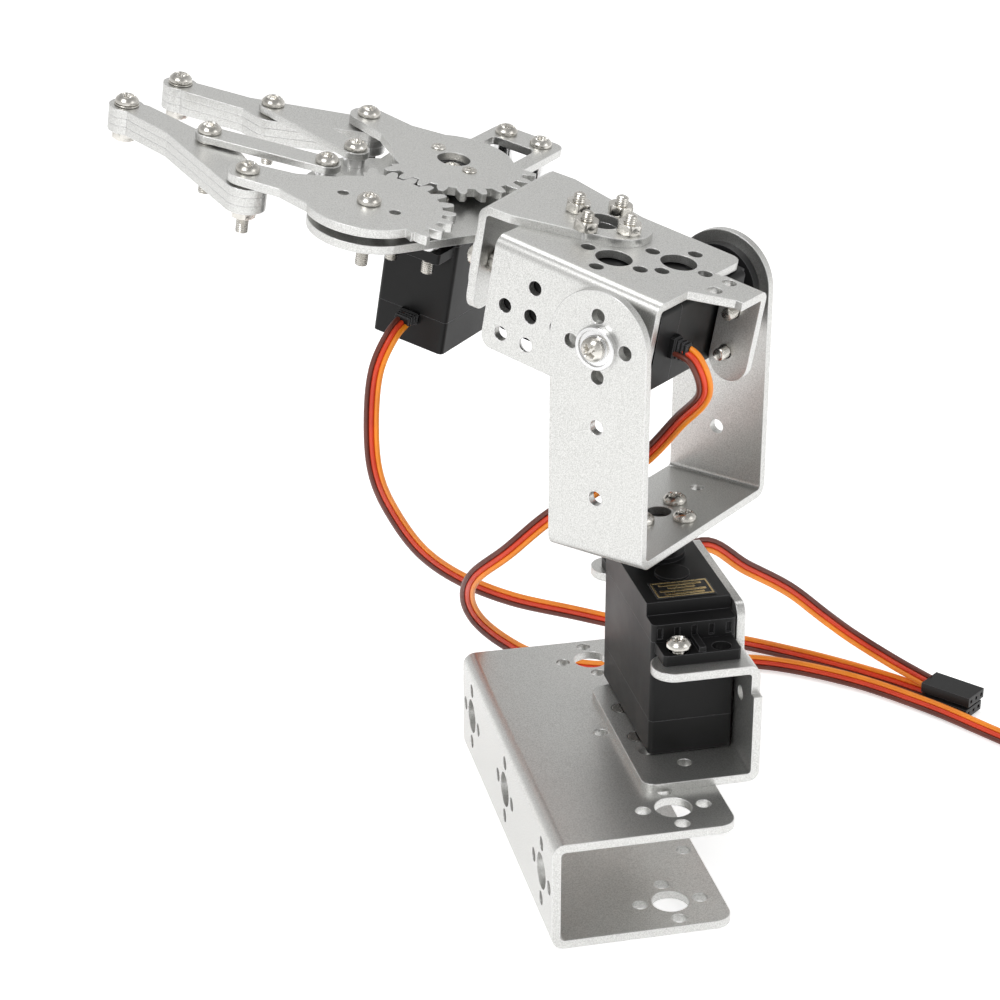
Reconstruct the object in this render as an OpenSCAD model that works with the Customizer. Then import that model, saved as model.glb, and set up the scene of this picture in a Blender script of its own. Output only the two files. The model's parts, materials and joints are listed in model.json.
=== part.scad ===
// Desktop robot arm: turntable servo on a channel foot, elbow servo in a tall fork, and a geared claw.
// Millimetres, +Z up. Origin: middle hole cluster of the foot, on its underside.

/* [Foot channel] */
// channel length
foot_len = 92; // [88:1:110]
// channel flange width
foot_w = 42; // [41:1:50]
// channel height over both flanges
foot_h = 26.5; // [24:0.5:30]
// distance from the middle hole cluster to an end cluster
cluster_step = 36; // [34:1:37]

/* [Sheet metal] */
// thickness of all folded sheet
sheet_t = 2; // [1.8:0.1:2.2]
// clearance hole radius for the M3 screws
hole_r = 1.7; // [1.6:0.05:1.75]

/* [Servo] */
// servo case length
servo_l = 40.5; // [40:0.1:40.8]
// servo case width
servo_w = 19.7; // [19.5:0.1:20]

/* [Pose] */
// turntable angle, from +X to the forearm's direction
pan_deg = 131.6; // [110:0.1:150]
// forearm tilt above level
tilt_deg = 10.4; // [0:0.1:20]
// how far each jaw arm is swung outward
jaw_deg = 13.6; // [10:0.1:20]

/* [Claw] */
// half the distance between the two gear centres
gear_half = 18.6; // [18.5:0.1:19.2]
// length of gear arm and link between pivots
arm_len = 29.4; // [28:0.1:30]

/* [Hidden] */
$fn = 48;
e = 0.01;
// turntable axis and the heights that follow from the servo
pan_x = 9.8;
pan_y = 14;
servo_gap = 0.3;
servo_z0 = foot_h + sheet_t + servo_gap;
fork_z = servo_z0 + 44.5;
elbow_rise = 50.8;
elbow_z = fork_z + elbow_rise;
fork_half = 27;
fork_w = 25;
fork_top = 12.8;
// servo heights above its own underside
ear_z = 25.9;
ear_t = 2.6;
case_top = 36;
boss_top = 37.2;
spline_top = 41;
shaft_back = 10.2;
servo_mid = servo_l / 2 - shaft_back;
ear_pitch = 24.75;
ear_half = 27.2;
shaft_r = 2.9;
horn_z = 38.1;
horn_r = 10;
horn_bolt = 7;
lid_z = 8.4;
wall = 1.5;
// bracket around a servo, in the servo's frame
side_y = 12.3;
plate_y0 = -14.5;
cross_x = 21;
cross_y = -2.8;
// gap between the elbow servo's underside and the fork's near arm
elbow_gap = 5.2;
// claw, in the claw's frame: x forward, z up from the elbow axis
yaw_deg = 5.7;
claw_y0 = 2.5;
gear_x = 67;
link_dx = 19.7;
link_dy = 12.5;
tip_dx = 25.9;
tip_dy = 2.3;
plate_top = 5.5;
gear_z = 7.9;
gear_t = 2.1;
claw_servo_z = -35.1;
horn_sink = 1.3;
link_z = gear_z;
link_t = 1.7;
jaw_top = gear_z - 0.5;
jaw_layer = 2;
leg_x = 44.5;
teeth = 24;
mod = 2 * gear_half / teeth;
screw_r = 1.45;

// ---------- frames ----------
module on_turntable() {
    translate([pan_x, pan_y, servo_z0]) rotate([0, 0, -90]) children();
}
module in_fork() {
    translate([pan_x, pan_y, elbow_z]) rotate([0, 0, pan_deg]) children();
}
module in_forearm() {
    in_fork() rotate([0, -tilt_deg, 0]) children();
}
module on_elbow_servo() {
    in_forearm() translate([0, fork_half - sheet_t - elbow_gap, 0]) rotate([90, 0, 0]) children();
}
module in_claw() {
    in_forearm() rotate([0, 0, yaw_deg]) children();
}
module on_claw_servo() {
    in_claw() translate([gear_x, claw_y0 - gear_half, claw_servo_z]) rotate([0, 0, -90]) children();
}

// ---------- hardware ----------
// pan-head screw, head up, its seat at z = 0 and its shank going down
module pan_screw(len, r = screw_r) {
    difference() {
        union() {
            translate([0, 0, -len]) cylinder(h = len + e, r = r);
            cylinder(h = 1.3, r = 2.8);
            translate([0, 0, 1.3 - e]) cylinder(h = 0.9, r1 = 2.8, r2 = 1.6);
        }
        for (a = [0, 90]) {
            rotate([0, 0, a]) translate([-1.4, -0.3, 1]) cube([2.8, 0.6, 2]);
        }
    }
}
module hex_nut(r_in = screw_r + 0.02) {
    difference() {
        cylinder(h = 2.4, r = 3.1, $fn = 6);
        translate([0, 0, -1]) cylinder(h = 5, r = r_in);
    }
}
module hole(x, y, r = hole_r, h = 40) {
    translate([x, y, -h / 2]) cylinder(h = h, r = r);
}
// one big hole with four small ones around it
module hole_cluster(x, y, big = 4.2) {
    hole(x, y, big);
    for (a = [0 : 90 : 270]) {
        hole(x + 7 * cos(a), y + 7 * sin(a));
    }
}
module rounded_rect(x0, y0, x1, y1, r) {
    translate([x0 + r, y0]) square([x1 - x0 - 2 * r, y1 - y0]);
    translate([x0, y0 + r]) square([x1 - x0, y1 - y0 - 2 * r]);
    for (x = [x0 + r, x1 - r]) {
        for (y = [y0 + r, y1 - r]) {
            translate([x, y]) circle(r);
        }
    }
}

// ---------- foot ----------
module foot_profile() {
    difference() {
        union() {
            rounded_rect(0, 0, foot_w, foot_h, 3);
            translate([foot_w / 2, 0]) square([foot_w / 2, foot_h]);
        }
        rounded_rect(sheet_t, sheet_t, foot_w - 4, foot_h - sheet_t, 1);
        translate([foot_w / 2, sheet_t]) square([foot_w, foot_h - 2 * sheet_t]);
    }
}
foot_x0 = -30;
foot_x1 = foot_x0 + foot_w;
module foot_channel() {
    color([0.75, 0.75, 0.74]) difference() {
        intersection() {
            translate([foot_x0, foot_len / 2, 0]) rotate([90, 0, 0]) {
                linear_extrude(foot_len) foot_profile();
            }
            translate([0, 0, -1]) linear_extrude(foot_h + 2) {
                rounded_rect(foot_x0 - 6, -foot_len / 2, foot_x1, foot_len / 2, 4);
            }
        }
        for (y = [-cluster_step, 0, cluster_step]) {
            hole_cluster_long(0, y);
            translate([foot_x0, y, foot_h / 2 + 1]) rotate([0, 90, 0]) {
                hole_cluster_web();
            }
        }
        translate([9, -16, 0]) cylinder(h = 10, r = hole_r, center = true);
    }
}
module hole_cluster_long(x, y) {
    translate([0, 0, foot_h / 2]) hole_cluster(x, y);
}
module hole_cluster_web() {
    cylinder(h = 10, r = 4.2, center = true);
    for (a = [0 : 90 : 270]) {
        rotate([0, 0, a]) translate([7, 0, 0]) cylinder(h = 10, r = hole_r, center = true);
    }
}

// ---------- servo bracket, in the servo's frame ----------
// L section of plate and side, drawn in the y-z plane
module bracket_section(top) {
    difference() {
        union() {
            rounded_rect(plate_y0, -servo_gap - sheet_t, side_y, top, 2.6);
            translate([plate_y0, -servo_gap - sheet_t]) square([10, top + 2]);
            translate([side_y - 10, top / 2]) square([10, top / 2]);
        }
        rounded_rect(plate_y0 - 30, -servo_gap, side_y - sheet_t, top + 30, 0.8);
    }
}
// L section of side and ear flap, drawn in the y-z plane
module flap_section() {
    difference() {
        rounded_rect(-40, -20, side_y, ear_z, 2.6);
        rounded_rect(-50, -30, side_y - sheet_t, ear_z - sheet_t, 0.8);
        translate([-60, -60]) square([120, 75]);
    }
}
// puts a y-z drawing along x
module along_x(x0, x1) {
    translate([x0, 0, 0]) rotate([90, 0, 90]) linear_extrude(x1 - x0) children();
}
module servo_bracket(x0, x1) {
    rear = servo_mid - 31;
    front = servo_mid + 31;
    difference() {
        union() {
            intersection() {
                along_x(x0, x1) bracket_section(20);
                union() {
                    translate([0, 0, -9]) linear_extrude(9) {
                        rounded_rect(x0, plate_y0, x1, side_y + 5, 3);
                    }
                    translate([x0, 0, -e]) cube([x1 - x0, 30, 19]);
                    translate([x0, plate_y0, -e]) cube([x1 - x0, 1, e]);
                }
            }
            // side plate, wider at the ears, with a tongue between them
            translate([0, side_y, 0]) rotate([90, 0, 0]) linear_extrude(sheet_t) {
                difference() {
                    union() {
                        polygon([[x0, 8], [x0, 10], [rear, 16], [rear, ear_z - 3],
                            [front, ear_z - 3], [front, 16], [x1, 10], [x1, 8]]);
                        translate([servo_mid - 19, 20]) square([38, 9]);
                        rounded_rect(servo_mid - 19, 20, servo_mid + 19, 35, 3);
                    }
                }
            }
            for (x = [rear, front - 10]) {
                intersection() {
                    along_x(x, x + 10) flap_section();
                    translate([0, 0, 10]) linear_extrude(20) {
                        rounded_rect(x, -11.5, x + 10, side_y + 9, 4.9);
                    }
                }
            }
        }
        // base plate holes
        hole(cross_x, cross_y, hole_r, 12);
        for (a = [0 : 90 : 270]) {
            translate([0, 0, -3]) hole(cross_x + 7 * cos(a), cross_y + 7 * sin(a), hole_r, 12);
        }
        for (p = [[7, cross_y - 7], [28, cross_y - 7], [cross_x + 14, cross_y], [0, 0]]) {
            translate([0, 0, -3]) hole(p[0], p[1], hole_r, 12);
        }
        // countersinks for the bolts that end under the servo
        for (p = [[7, cross_y - 7], [cross_x - 7, cross_y], [cross_x, cross_y - 7]]) {
            translate([p[0], p[1], -servo_gap - 1.5]) cylinder(h = 1.6, r1 = hole_r, r2 = 2.6);
        }
        // side plate clusters
        for (p = [[servo_mid - 10.5, 21], [servo_mid + 10.5, 21]]) {
            translate([p[0], side_y, p[1]]) rotate([90, 0, 0]) hole_cluster_web();
        }
        translate([servo_mid, side_y, 10.5]) rotate([90, 0, 0]) cylinder(h = 10, r = 4.2, center = true);
        for (p = [[servo_mid + 7, 10.5], [servo_mid - 7, 10.5], [servo_mid, 3.5]]) {
            translate([p[0], side_y, p[1]]) rotate([90, 0, 0]) cylinder(h = 10, r = hole_r, center = true);
        }
        for (x = [servo_mid - 23.5, servo_mid + 23.5]) {
            for (z = [15.4, 21.5]) {
                translate([x, side_y, z]) rotate([90, 0, 0]) cylinder(h = 10, r = hole_r, center = true);
            }
        }
        // ear holes
        for (x = [servo_mid - ear_pitch, servo_mid + ear_pitch]) {
            for (y = [-5, 5]) {
                translate([x, y, ear_z]) cylinder(h = 10, r = hole_r, center = true);
            }
        }
    }
}
module foot_bracket() {
    color([0.76, 0.76, 0.75]) on_turntable() servo_bracket(-5, 43);
}
module elbow_bracket() {
    color([0.76, 0.76, 0.75]) on_elbow_servo() servo_bracket(-10, 33);
}
foot_bolts = [[7, 0], [0, -7], [0, 7]];
module foot_bracket_bolts() {
    color([0.8, 0.78, 0.72]) {
        for (p = foot_bolts) {
            translate([p[0], p[1], foot_h + sheet_t]) {
                translate([0, 0, -1.5]) cylinder(h = 1.45, r1 = screw_r, r2 = 2.3);
                translate([0, 0, -2 * sheet_t - 3.4]) cylinder(h = 2 * sheet_t + 1.95, r = screw_r);
            }
            translate([p[0], p[1], foot_h - sheet_t - 2.45]) hex_nut();
        }
    }
}

// ---------- servo parts, in the servo's frame ----------
module servo_outline(grow = 0) {
    rounded_rect(-shaft_back - grow, -servo_w / 2 - grow, servo_l - shaft_back + grow, servo_w / 2 + grow, 1.2);
}
module servo_inner() {
    rounded_rect(-shaft_back + wall, -servo_w / 2 + wall, servo_l - shaft_back - wall, servo_w / 2 - wall, 1);
}
corner_x = [-shaft_back + 2.6, servo_l - shaft_back - 2.6];
corner_y = [-servo_w / 2 + 2.6, servo_w / 2 - 2.6];
module corner_posts(z0, z1) {
    for (x = corner_x) {
        for (y = corner_y) {
            translate([x, y, z0]) cylinder(h = z1 - z0, r = 2.2);
        }
    }
}
module corner_bores(z0, z1, r = 0.95) {
    for (x = corner_x) {
        for (y = corner_y) {
            translate([x, y, z0]) cylinder(h = z1 - z0, r = r);
        }
    }
}
module servo_lid() {
    difference() {
        union() {
            difference() {
                linear_extrude(lid_z) servo_outline();
                translate([0, 0, wall]) linear_extrude(lid_z) servo_inner();
            }
            corner_posts(0.5, lid_z);
        }
        corner_bores(-1, lid_z + 1);
        translate([-shaft_back - 1, -2.2, lid_z - 2.4]) cube([wall + 2, 4.4, 3]);
    }
}
module servo_case() {
    difference() {
        union() {
            difference() {
                translate([0, 0, lid_z + e]) linear_extrude(ear_z + ear_t - lid_z) servo_outline();
                translate([0, 0, lid_z - 1]) linear_extrude(ear_z - lid_z) servo_inner();
            }
            corner_posts(lid_z + e, ear_z);
            difference() {
                translate([0, 0, ear_z]) linear_extrude(ear_t) {
                    rounded_rect(servo_mid - ear_half, -9, servo_mid + ear_half, 9, 1);
                }
                for (x = [servo_mid - ear_pitch, servo_mid + ear_pitch]) {
                    for (y = [-5, 5]) {
                        translate([x, y, ear_z - 1]) cylinder(h = 6, r = 2.2);
                    }
                }
            }
            for (x = [servo_mid - ear_half + 0.5, servo_mid + servo_l / 2 + 0.1]) {
                translate([x, -0.8, ear_z + ear_t - e]) cube([ear_half - servo_l / 2 - 0.6, 1.6, 1.2]);
            }
        }
        corner_bores(lid_z - 1, ear_z + 6);
        translate([0, 0, ear_z - 3]) cylinder(h = 8, r = 3.1);
        translate([20, 0, ear_z - 3]) cylinder(h = 8, r = 3);
    }
}
cover_z = ear_z + ear_t + 0.02;
module servo_cover() {
    difference() {
        union() {
            translate([0, 0, cover_z]) linear_extrude(case_top - cover_z) servo_outline();
            translate([0, 0, case_top - e]) cylinder(h = boss_top - case_top, r = 6.4);
            translate([12, 0, case_top - e]) cylinder(h = 0.7, r = 4);
        }
        intersection() {
            translate([0, 0, cover_z - 1]) linear_extrude(case_top - cover_z - 0.5) difference() {
                servo_inner();
                for (x = corner_x) {
                    for (y = corner_y) {
                        translate([x, y]) circle(2.2);
                    }
                }
            }
            translate([-20, -20, 0]) cube([43.5, 40, 60]);
        }
        corner_bores(cover_z - 1, 32);
        translate([0, 0, cover_z]) cylinder(h = 20, r = shaft_r + 0.6);
        // stepped end away from the shaft, with ribs
        translate([servo_l - shaft_back - 5, -20, case_top - 3.2]) cube([10, 40, 10]);
        for (i = [0 : 4]) {
            translate([servo_l - shaft_back - 0.5, -8.6 + i * 4, cover_z + 0.8]) cube([2, 1.2, 2.6]);
        }
        translate([-20, -20, case_top - 1]) cube([20 - shaft_back + 1, 40, 5]);
    }
}
module servo_motor() {
    translate([20, 0, 3.2]) cylinder(h = 21.5, r = 7.2);
    translate([20, 0, 24.7 - e]) cylinder(h = 8, r = 1);
    translate([20, 0, 30]) cylinder(h = 2.6, r = 1.9);
}
module servo_gears() {
    difference() {
        union() {
            translate([13, -3.4, 30.6]) cylinder(h = 1.8, r = 4.9);
            translate([13, -3.4, 32.3]) cylinder(h = 1.7, r = 2.2);
        }
        translate([13, -3.4, 20]) cylinder(h = 20, r = 0.82);
    }
    translate([13, -3.4, 28.9]) cylinder(h = 5.6, r = 0.8);
}
module servo_board() {
    difference() {
        translate([-7.6, -7.4, 1.7]) cube([20, 14.8, 1.2]);
        corner_bores(0, 5, 2.4);
    }
    translate([0, 0, 2.9 - e]) cylinder(h = 9, r = 5.2);
    translate([0, 0, 11.8]) cylinder(h = 3, r = 1.2);
    translate([7, -3, 2.8]) cube([4, 6, 1.2]);
}
module servo_case_screws() {
    for (x = corner_x) {
        for (y = corner_y) {
            translate([x, y, 0.1]) cylinder(h = 31.5, r = 0.9);
        }
    }
}
module servo_shaft() {
    translate([0, 0, 30.4]) cylinder(h = 3.6, r = 6);
    translate([0, 0, 33.9]) cylinder(h = spline_top - 33.9, r = shaft_r);
}
module servo_horn(depth, disc = 2.4, sink = 0) {
    difference() {
        union() {
            translate([0, 0, horn_z]) cylinder(h = depth - disc / 2, r = 4.4);
            translate([0, 0, horn_z + depth - disc]) cylinder(h = disc, r = horn_r);
        }
        translate([0, 0, horn_z - 1]) cylinder(h = spline_top - horn_z + 1.2, r = shaft_r + e);
        translate([0, 0, horn_z - 1]) cylinder(h = 20, r = 1.5);
        // seat for a sunk centre screw
        translate([0, 0, horn_z + depth - sink]) cylinder(h = 5, r = 3.2);
        for (a = [0 : 90 : 270]) {
            rotate([0, 0, a]) translate([horn_bolt, 0, horn_z - 1]) cylinder(h = 20, r = 1.3);
        }
    }
}
module ear_screws(len) {
    for (x = [servo_mid - ear_pitch, servo_mid + ear_pitch]) {
        for (y = [-5, 5]) {
            translate([x, y, ear_z + ear_t]) pan_screw(len, screw_r);
        }
    }
}

// ---------- turntable servo ----------
module turntable_servo_lid() {
    color([0.1, 0.1, 0.1]) on_turntable() servo_lid();
}
module turntable_servo_case() {
    color([0.1, 0.1, 0.1]) on_turntable() servo_case();
}
module turntable_servo_cover() {
    color([0.1, 0.1, 0.1]) on_turntable() servo_cover();
}
module turntable_servo_motor() {
    color([0.6, 0.6, 0.6]) on_turntable() servo_motor();
}
module turntable_servo_gears() {
    color([0.8, 0.7, 0.4]) on_turntable() servo_gears();
}
module turntable_servo_board() {
    color([0.1, 0.4, 0.2]) on_turntable() servo_board();
}
module turntable_servo_case_screws() {
    color([0.7, 0.7, 0.7]) on_turntable() servo_case_screws();
}
module turntable_servo_ear_screws() {
    // the front ear has one screw, standing slightly proud, and one empty hole
    color([0.8, 0.78, 0.72]) on_turntable() translate([0, 0, ear_z + ear_t]) {
        for (y = [-5, 5]) {
            translate([servo_mid - ear_pitch, y, 0]) pan_screw(7.5, screw_r);
        }
        translate([servo_mid + ear_pitch, -5, 1]) pan_screw(8, screw_r);
    }
}
module turntable_shaft() {
    color([0.8, 0.7, 0.4]) on_turntable() servo_shaft();
}
module turntable_horn() {
    color([0.1, 0.1, 0.1]) on_turntable() rotate([0, 0, pan_deg]) servo_horn(44.5 - horn_z - 0.02);
}

// ---------- fork ----------
module fork_section() {
    difference() {
        rounded_rect(-fork_half, 0, fork_half, 200, 3);
        rounded_rect(-fork_half + sheet_t, sheet_t, fork_half - sheet_t, 230, 1);
    }
}
module fork_arm_outline() {
    translate([-fork_w / 2, -1]) square([fork_w, elbow_rise + 1]);
    translate([0, elbow_rise]) circle(fork_w / 2);
    translate([0, elbow_rise + 0.3]) circle(fork_w / 2);
}
bearing_r = 3.98;
module fork() {
    color([0.77, 0.77, 0.76]) in_fork() translate([0, 0, -elbow_rise]) difference() {
        intersection() {
            translate([-fork_w / 2, 0, 0]) rotate([90, 0, 90]) linear_extrude(fork_w) fork_section();
            translate([0, 60, 0]) rotate([90, 0, 0]) linear_extrude(120) fork_arm_outline();
        }
        // pan horn holes in the web
        hole(0, 0, 3);
        for (a = [0 : 90 : 270]) {
            hole(7 * cos(a), 7 * sin(a));
        }
        for (y = [-17, 17]) {
            hole(0, y);
        }
        // arms
        for (s = [-1, 1]) {
            for (a = [0 : 90 : 270]) {
                translate([7 * cos(a), s * fork_half, elbow_rise + 7 * sin(a)]) rotate([90, 0, 0]) {
                    cylinder(h = 12, r = s > 0 ? hole_r : 1.35, center = true);
                }
            }
            for (z = [15, 32]) {
                translate([0, s * fork_half, z]) rotate([90, 0, 0]) {
                    cylinder(h = 12, r = hole_r, center = true);
                }
            }
            translate([0, s * fork_half, elbow_rise]) rotate([90, 0, 0]) {
                cylinder(h = 12, r = s > 0 ? bearing_r + 0.02 : 3, center = true);
            }
        }
    }
}
module fork_horn_screws() {
    color([0.8, 0.78, 0.72]) in_fork() translate([0, 0, -elbow_rise + sheet_t]) {
        for (a = [0 : 90 : 270]) {
            translate([7 * cos(a), 7 * sin(a), 0]) pan_screw(4, 1.28);
        }
    }
}
// flanged bearing ring in the near arm
module elbow_bearing() {
    color([0.85, 0.85, 0.86]) in_fork() rotate([-90, 0, 0]) difference() {
        union() {
            translate([0, 0, fork_half - sheet_t - 1]) cylinder(h = sheet_t + 1.5, r = bearing_r);
            translate([0, 0, fork_half + e]) cylinder(h = 1.4, r = 5);
        }
        cylinder(h = 100, r = 1.55);
    }
}
module elbow_pivot_screw() {
    color([0.8, 0.78, 0.72]) in_forearm() rotate([-90, 0, 0]) {
        translate([0, 0, fork_half + 1.5]) pan_screw(elbow_gap + 3.4, 1.5);
        difference() {
            translate([0, 0, fork_half - sheet_t - 1.2 - 1.6]) cylinder(h = 1.4, r = 3.4);
            cylinder(h = 100, r = 1.49);
        }
    }
}
module elbow_shaft() {
    color([0.8, 0.7, 0.4]) on_elbow_servo() servo_shaft();
}
elbow_horn_depth = 2 * (fork_half - sheet_t) - elbow_gap - horn_z - 0.02;
module elbow_horn() {
    color([0.1, 0.1, 0.1]) on_elbow_servo() rotate([0, 0, -tilt_deg]) servo_horn(elbow_horn_depth);
}
module elbow_horn_screws() {
    color([0.8, 0.78, 0.72]) in_fork() {
        for (a = [0 : 90 : 270]) {
            translate([7 * cos(a), -fork_half, 7 * sin(a)]) rotate([90, 0, 0]) pan_screw(4, 1.28);
        }
    }
}

// ---------- elbow servo ----------
module elbow_servo_lid() {
    color([0.1, 0.1, 0.1]) on_elbow_servo() servo_lid();
}
module elbow_servo_case() {
    color([0.1, 0.1, 0.1]) on_elbow_servo() servo_case();
}
module elbow_servo_cover() {
    color([0.1, 0.1, 0.1]) on_elbow_servo() servo_cover();
}
module elbow_servo_motor() {
    color([0.6, 0.6, 0.6]) on_elbow_servo() servo_motor();
}
module elbow_servo_gears() {
    color([0.8, 0.7, 0.4]) on_elbow_servo() servo_gears();
}
module elbow_servo_board() {
    color([0.1, 0.4, 0.2]) on_elbow_servo() servo_board();
}
module elbow_servo_case_screws() {
    color([0.7, 0.7, 0.7]) on_elbow_servo() servo_case_screws();
}
module elbow_servo_ear_screws() {
    color([0.8, 0.78, 0.72]) on_elbow_servo() ear_screws(7.5);
}

// ---------- wrist ----------
wrist_hole_x = servo_mid + 10.5;
wrist_hole_y = fork_half - sheet_t - elbow_gap - 21;
module wrist_bolt_places() {
    in_forearm() {
        for (a = [0 : 90 : 270]) {
            translate([wrist_hole_x + 7 * cos(a), wrist_hole_y + 7 * sin(a), side_y]) children();
        }
    }
}
module wrist_leg_outline() {
    hull() {
        translate([17.5, -4.5]) circle(8.5);
        translate([leg_x - 8, -19.5]) square([7.9, 30]);
    }
}
module wrist_bracket() {
    color([0.76, 0.76, 0.75]) difference() {
        in_claw() translate([0, 0, side_y + e]) union() {
            intersection() {
                linear_extrude(sheet_t) wrist_leg_outline();
                translate([0, -30, -1]) cube([leg_x - 2, 60, 5]);
            }
            // folded corner and the leg that hangs down
            intersection() {
                translate([0, 40, 0]) rotate([90, 0, 0]) linear_extrude(80) difference() {
                    rounded_rect(leg_x - 30, -28, leg_x, sheet_t, 2.8);
                    rounded_rect(leg_x - 50, -60, leg_x - sheet_t, 0, 0.8);
                    translate([-100, -100]) square([100 + leg_x - 6, 200]);
                    translate([-100, -100]) square([200, 75]);
                }
                translate([leg_x - 15, 0, 0]) rotate([90, 0, 90]) linear_extrude(20) {
                    translate([-19.5, -10]) square([30, 12.1]);
                    rounded_rect(-19.5, -25, 10.5, 0, 5);
                }
            }
        }
        in_forearm() hole_cluster(wrist_hole_x, wrist_hole_y, 4.2);
        claw_flange_places() translate([0, 0, -10]) cylinder(h = 20, r = hole_r);
    }
}
module wrist_bolts() {
    color([0.8, 0.78, 0.72]) wrist_bolt_places() {
        translate([0, 0, -sheet_t]) rotate([180, 0, 0]) wrist_bolt();
    }
}
// head under the bracket, thread standing up through the nut
module wrist_bolt() {
    cylinder(h = 0.4, r = 2.7);
    translate([0, 0, -sheet_t * 2 - 4.4]) cylinder(h = sheet_t * 2 + 4.5, r = screw_r);
}
module wrist_nuts() {
    color([0.8, 0.78, 0.72]) wrist_bolt_places() translate([0, 0, sheet_t + 0.03]) hex_nut();
}

// ---------- claw plate ----------
// angle of the two small holes in each gear
function gear_hole_deg(s) = s > 0 ? 0 : -27;
function gear_y(s) = claw_y0 + s * gear_half;
function pivot_a(s) = [gear_x + arm_len * cos(jaw_deg), gear_y(s) + s * arm_len * sin(jaw_deg)];
function pivot_b(s) = [gear_x + link_dx, gear_y(s) - s * link_dy];
function pivot_c(s) = pivot_a(s) + [link_dx, -s * link_dy];
function pivot_t(s) = pivot_c(s) + [tip_dx, -s * tip_dy];
flange_y = [-15.5, 4];
flange_z = -1;
module claw_flange_places() {
    in_claw() {
        for (y = flange_y) {
            translate([leg_x, y, flange_z]) rotate([0, 90, 0]) children();
        }
    }
}
claw_ear_y = gear_y(-1) - servo_mid;
module claw_plate_outline() {
    hull() {
        translate([48, 6]) circle(3);
        translate([48, -23]) circle(3);
        translate([gear_x, gear_y(1)]) circle(13.6);
        translate([gear_x + 10, claw_y0 - 21]) circle(8);
    }
    hull() {
        translate(pivot_b(1)) circle(4.4);
        translate(pivot_b(-1)) circle(4.4);
        translate([gear_x + 8, claw_y0 + 14]) circle(6);
        translate([gear_x + 8, claw_y0 - 15]) circle(6);
    }
    rounded_rect(gear_x - 10, claw_y0 - 57.6, gear_x + 9, claw_y0 - 19, 3);
}
module claw_plate() {
    color([0.76, 0.76, 0.75]) in_claw() difference() {
        union() {
            translate([0, 0, plate_top - sheet_t]) linear_extrude(sheet_t) claw_plate_outline();
            translate([leg_x + e, -20, plate_top - sheet_t]) cube([5, 27, sheet_t]);
            translate([leg_x + e, 0, 0]) rotate([90, 0, 90]) linear_extrude(sheet_t) {
                rounded_rect(-20, -9, 7, 3, 4);
                translate([-20, -4]) square([27, plate_top + 4]);
            }
        }
        // clearance for the servo boss and shaft
        translate([gear_x, gear_y(-1), -1]) cylinder(h = 20, r = 6.8);
        // window over the servo
        linear_extrude(40, center = true) rounded_rect(gear_x - 6, claw_y0 - 49.2, gear_x + 6, claw_y0 - 31, 1.5);
        for (s = [-1, 1]) {
            translate([pivot_b(s)[0], pivot_b(s)[1], 0]) cylinder(h = 20, r = screw_r + 0.05);
        }
        translate([gear_x, gear_y(1), 0]) cylinder(h = 20, r = screw_r + 0.05);
        for (dy = [-ear_pitch, ear_pitch]) {
            for (dx = [-5, 5]) {
                translate([gear_x + dx, claw_ear_y + dy, 0]) cylinder(h = 20, r = screw_r + 0.05);
            }
        }
        for (y = flange_y) {
            translate([leg_x, y, flange_z]) rotate([0, 90, 0]) cylinder(h = 9, r = hole_r, center = true);
        }
    }
}
module claw_plate_bolts() {
    color([0.8, 0.78, 0.72]) claw_flange_places() {
        translate([0, 0, sheet_t + 0.05]) pan_screw(2 * sheet_t + 2.8, screw_r);
        translate([0, 0, -sheet_t - 2.45]) hex_nut();
    }
}

// ---------- claw servo ----------
module claw_servo_lid() {
    color([0.1, 0.1, 0.1]) on_claw_servo() servo_lid();
}
module claw_servo_case() {
    color([0.1, 0.1, 0.1]) on_claw_servo() servo_case();
}
module claw_servo_cover() {
    color([0.1, 0.1, 0.1]) on_claw_servo() servo_cover();
}
module claw_servo_motor() {
    color([0.6, 0.6, 0.6]) on_claw_servo() servo_motor();
}
module claw_servo_gears() {
    color([0.8, 0.7, 0.4]) on_claw_servo() servo_gears();
}
module claw_servo_board() {
    color([0.1, 0.4, 0.2]) on_claw_servo() servo_board();
}
module claw_servo_case_screws() {
    color([0.7, 0.7, 0.7]) on_claw_servo() servo_case_screws();
}
module claw_shaft() {
    color([0.8, 0.7, 0.4]) on_claw_servo() servo_shaft();
}
module claw_servo_ear_screws() {
    drop = plate_top - claw_servo_z - ear_z - ear_t;
    color([0.8, 0.78, 0.72]) on_claw_servo() {
        translate([0, 0, drop]) ear_screws(drop + ear_t + 4);
    }
}
module claw_horn() {
    color([0.1, 0.1, 0.1]) on_claw_servo() rotate([0, 0, 90 + gear_hole_deg(-1)]) {
        servo_horn(gear_z - claw_servo_z - horn_z - 0.02, 1.8, horn_sink);
    }
}

// ---------- gears and jaws ----------
// involute of a circle, one flank point at roll angle a (degrees)
function involute(rb, a) = [rb * (cos(a) + a * PI / 180 * sin(a)), rb * (sin(a) - a * PI / 180 * cos(a))];
function roll_at(rb, r) = sqrt(max(0, r * r / (rb * rb) - 1)) * 180 / PI;
function turn(p, a) = [p[0] * cos(a) - p[1] * sin(a), p[0] * sin(a) + p[1] * cos(a)];
pitch_r = gear_half;
base_r = pitch_r * cos(20);
tip_r = pitch_r + 0.8 * mod;
root_r = pitch_r - 1.15 * mod;
inv_pitch = roll_at(base_r, pitch_r) - atan(roll_at(base_r, pitch_r) * PI / 180);
half_tooth = 90 / teeth - 0.42;
flank_steps = 4;
function flank(side) = [for (i = [0 : flank_steps])
    let (r = base_r + (tip_r - base_r) * i / flank_steps)
    let (p = involute(base_r, roll_at(base_r, r)))
    let (q = turn(p, -inv_pitch - half_tooth))
    [q[0], side * q[1]]];
function reversed(l) = [for (i = [len(l) - 1 : -1 : 0]) l[i]];
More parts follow.
